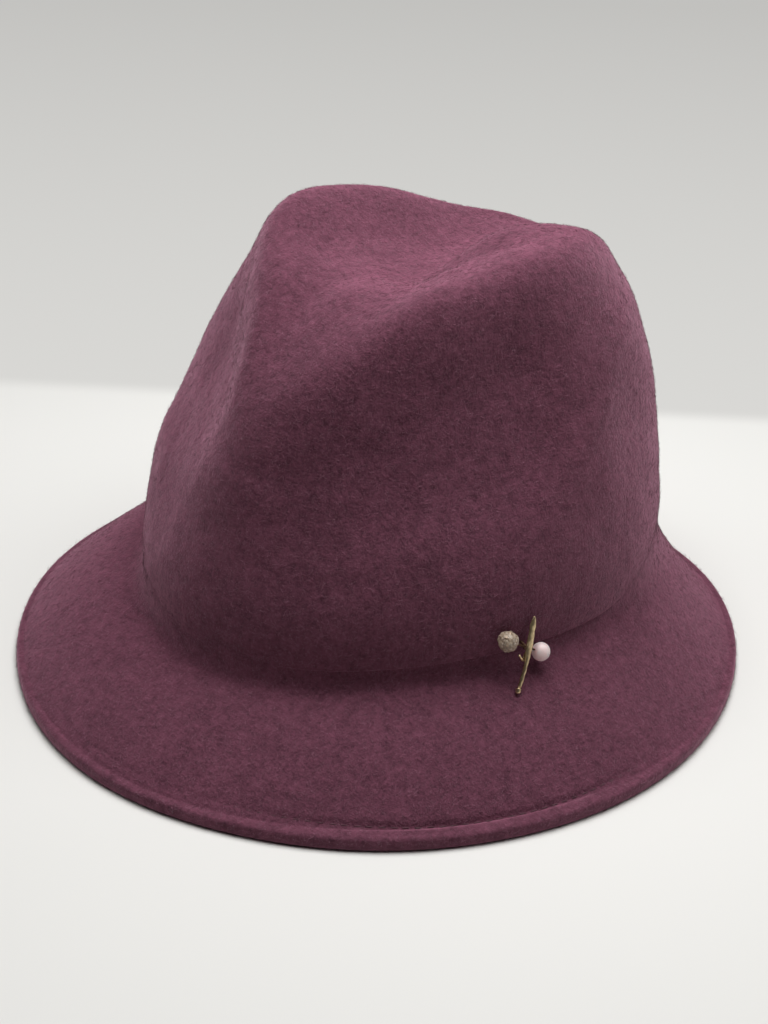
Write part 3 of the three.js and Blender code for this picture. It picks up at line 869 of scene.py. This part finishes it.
def ball(centre, diameter, shape):
    """A bead from a subdivided icosahedron, with a radius that shape may change."""
    bpy.ops.mesh.primitive_ico_sphere_add(subdivisions=5, radius=1)
    made = bpy.context.object
    directions = unit(np.array([v.co[:] for v in made.data.vertices]))
    faces = [list(p.vertices) for p in made.data.polygons]
    bpy.data.objects.remove(made)
    radii = diameter / 2 * np.array([shape(Vector(p)) for p in directions])
    return centre + directions * radii[:, None], faces


def nearly_round(p):
    """The pearl's radius, as a share: a little taller than wide."""
    return 1 + 0.04 * p.z * p.z + 0.012 * noise.noise(p * 1.7)


def crystals(p):
    """The rough bead's radius, as a share: small facets on an uneven lump."""
    distance = noise.voronoi(p * 3.2, distance_metric="DISTANCE")[0]
    facets = 0.08 * (distance[1] - distance[0]) - 0.05 * distance[0]
    return 1.02 + facets + 0.12 * noise.noise(p * 1.3)


brass = metal_material("hammered_brass", (0.88, 0.69, 0.40), (0.36, 0.27, 0.165), 0.33)
# The thin wires get a much darker brass than the bar: painted shade, for wires that lie in shadow
shade_dark_wire = metal_material("shade_dark_wire", (0.16, 0.09, 0.055), (0.06, 0.035, 0.025), 0.5)
bright = joined([hammered_bar(), bent_wire(tail_line(), TAIL_DIAMETER)])
pearl = ball(pearl_centre, PEARL_DIAMETER, nearly_round)
rough_bead = ball(rough_centre, ROUGH_BEAD_DIAMETER, crystals)
dress(make_mesh("brooch_brass", *bright, brass), "brooch_brass", "brooch_bar")
dress(make_mesh("brooch_wires", *cross_and_post(), shade_dark_wire), "brooch_brass", "brooch_bar")
dress(make_mesh("pearl", *pearl, pearl_material()), "pearl", "pearl_bead")
dress(make_mesh("rough_stone", *rough_bead, crystal_material(), smooth=False), "rough_stone", "rough_bead")
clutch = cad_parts["pin_clutch"]
clutch.data.materials.clear()
clutch.data.materials.append(brass)

# View, in degrees, metres and the picture's pixels
VIEW_AZIMUTH = math.radians(45)
VIEW_ELEVATION = math.radians(28.75)
VIEW_ROLL = math.radians(2.8)
VIEW_DISTANCE = 0.62
VIEW_TARGET = (12.9, -24.3, 60)
FOCAL_PIXELS = 1743.0
FRAME_WIDTH = 768
SENSOR_WIDTH = 36

# Floor, in metres: paper that ends in a soft line behind the hat; beyond it the floor is nearly black and
# emits light, painted light for the backdrop, a little dimmer with the distance
FLOOR_SIZE = 6
FLOOR_COLOUR = (0.79, 0.784, 0.758)
FLOOR_LINE = (0.196, 0.214)
FAR_FLOOR_SHARE = 0.08
FAR_END = 1.1
FAR_PAINTED_LIGHT = (0.62, 0.52)
PAINTED_LIGHT_TINT = (1.0, 0.99, 0.96)

# Soft lights: place and size in metres, and power in watts
LIGHT_AIM = (0, 0, 0.07)
LIGHTS = {
    "near_over": [(-0.05, 0.05, 0.8), (0.5, 0.5), 5.9],
    "near_left": [(-0.35, -0.35, 0.8), (0.5, 0.5), 1.2],
    "near_right": [(0.35, 0.35, 0.8), (0.5, 0.5), 2.4],
    "right_back": [(0.0, 1.4, 0.8), (1.2, 0.9), 1.8],
}
ROOM_COLOUR = (0.80, 0.81, 0.83)
ROOM_STRENGTH = 0.02


def paper_painted_light_material():
    """Pale paper near the hat; beyond a soft line behind it the floor is nearly black and emits light,
    painted light whose strength falls with the distance behind the hat.
    """
    graph = Graph("paper_with_painted_light")
    behind = (-math.sin(VIEW_AZIMUTH), math.cos(VIEW_AZIMUTH), 0)
    away = graph.add("VectorMath", {0: graph.place(), 1: behind}, "DOT_PRODUCT").outputs["Value"]

    def along_floor(low, high, from_value, to_value, way):
        found = graph.add("MapRange", {"Value": away, "From Min": low, "From Max": high,
                                       "To Min": from_value, "To Max": to_value})
        found.interpolation_type = way
        return found.outputs["Result"]

    # Painted light: beyond the line the floor's own colour is nearly black and its emission sets the tone
    far_share = along_floor(*FLOOR_LINE, 0, 1, "SMOOTHSTEP")
    far_painted_light = along_floor(FLOOR_LINE[1], FAR_END, *FAR_PAINTED_LIGHT, "LINEAR")
    far_colour = (*(c * FAR_FLOOR_SHARE for c in FLOOR_COLOUR), 1)
    tint = graph.add("MixRGB", {"Fac": far_share, "Color1": (*FLOOR_COLOUR, 1), "Color2": far_colour})
    painted_emission = graph.add("Math", {0: far_share, 1: far_painted_light}, "MULTIPLY")
    graph.feed(graph.shader, {
        "Base Color": tint.outputs["Color"], "Roughness": 0.9, "Specular IOR Level": 0.1,
        "Emission Color": (*PAINTED_LIGHT_TINT, 1), "Emission Strength": painted_emission.outputs[0]})
    return graph.material


def area_light(name, place, size, power):
    """A soft rectangular light that faces the hat."""
    data = bpy.data.lights.new(name, "AREA")
    data.shape = "RECTANGLE"
    data.size, data.size_y = size
    data.energy = power
    light = bpy.data.objects.new(name, data)
    bpy.context.scene.collection.objects.link(light)
    light.location = place
    light.rotation_euler = (Vector(LIGHT_AIM) - Vector(place)).to_track_quat("-Z", "Y").to_euler()


def set_world():
    """A very dim, even room."""
    world = bpy.data.worlds.new("studio")
    bpy.context.scene.world = world
    world.use_nodes = True
    background = world.node_tree.nodes["Background"]
    background.inputs["Color"].default_value = (*ROOM_COLOUR, 1)
    background.inputs["Strength"].default_value = ROOM_STRENGTH


def set_camera():
    """The camera at the photograph's angle."""
    level = math.cos(VIEW_ELEVATION)
    sine, cosine = math.sin(VIEW_AZIMUTH), math.cos(VIEW_AZIMUTH)
    back = Vector((sine * level, -cosine * level, math.sin(VIEW_ELEVATION)))
    right = Vector((cosine, sine, 0))
    above = back.cross(right)
    rolled_right = right * math.cos(VIEW_ROLL) + above * math.sin(VIEW_ROLL)
    rolled_up = above * math.cos(VIEW_ROLL) - right * math.sin(VIEW_ROLL)
    data = bpy.data.cameras.new("camera")
    data.sensor_fit = "HORIZONTAL"
    data.sensor_width = SENSOR_WIDTH
    data.lens = FOCAL_PIXELS * SENSOR_WIDTH / FRAME_WIDTH
    camera = bpy.data.objects.new("camera", data)
    bpy.context.scene.collection.objects.link(camera)
    target = Vector((shift + VIEW_TARGET) * MM)
    turned = Matrix((rolled_right, rolled_up, back)).transposed().to_4x4()
    camera.matrix_world = Matrix.Translation(target + back * VIEW_DISTANCE) @ turned
    bpy.context.scene.camera = camera
    bpy.context.scene.view_settings.view_transform = "Standard"


bpy.ops.mesh.primitive_plane_add(size=FLOOR_SIZE, location=(0, 0, 0))
floor = bpy.context.object
floor.name = "floor"
floor.data.materials.append(paper_painted_light_material())
for name, (place, size, power) in LIGHTS.items():
    area_light(name, place, size, power)
set_world()
set_camera()
